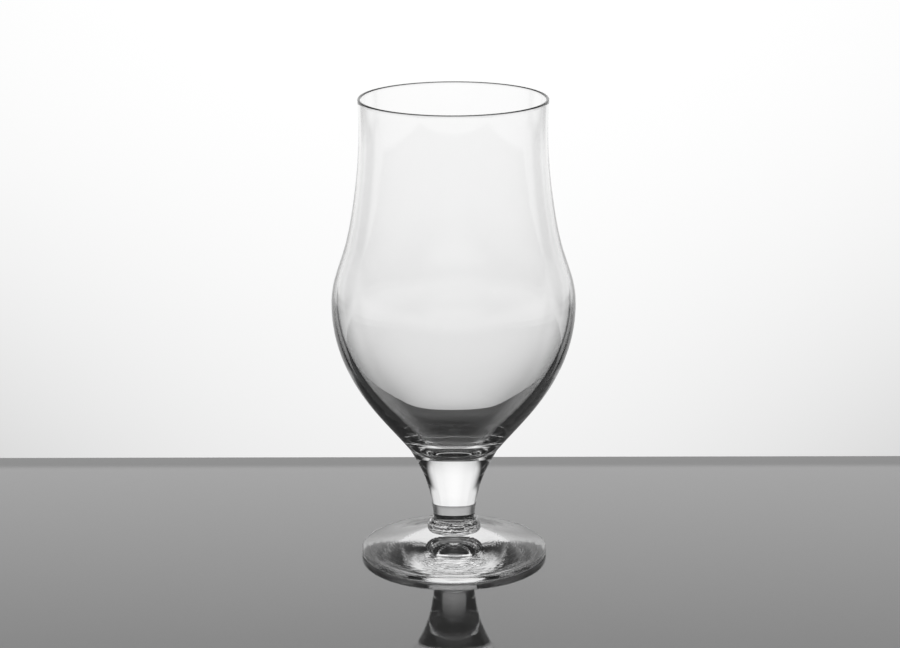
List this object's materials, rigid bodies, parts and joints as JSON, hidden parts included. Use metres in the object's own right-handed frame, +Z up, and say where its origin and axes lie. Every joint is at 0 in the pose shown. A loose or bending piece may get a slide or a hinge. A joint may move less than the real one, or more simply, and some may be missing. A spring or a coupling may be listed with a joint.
{
  "type": "stemmed beer tulip glass",
  "caption": "Clear stemmed drinking glass: a blown tulip bowl with a slightly flared lip, on a short solid trumpet stem, a flared weld collar and a round pressed foot.",
  "frame": {"origin": "on the table, under the middle of the foot", "axes": "+Z up along the axis that every piece is turned about; the glass is round, so X and Y are free"},
  "size_m": [0.0934, 0.0934, 0.18],
  "materials": {
    "blown_glass": "fire-polished, clear and smooth",
    "drawn_glass": "fire-polished, clear and smooth",
    "weld_glass": "fire-polished with fine ripples",
    "pressed_glass": "pressed, with faint ripples, fire-polished edge"
  },
  "bodies": {
    "root": {"bowl": "blown_glass", "stem": "drawn_glass", "stem_collar": "weld_glass", "foot": "pressed_glass"}
  },
  "joints": []
}
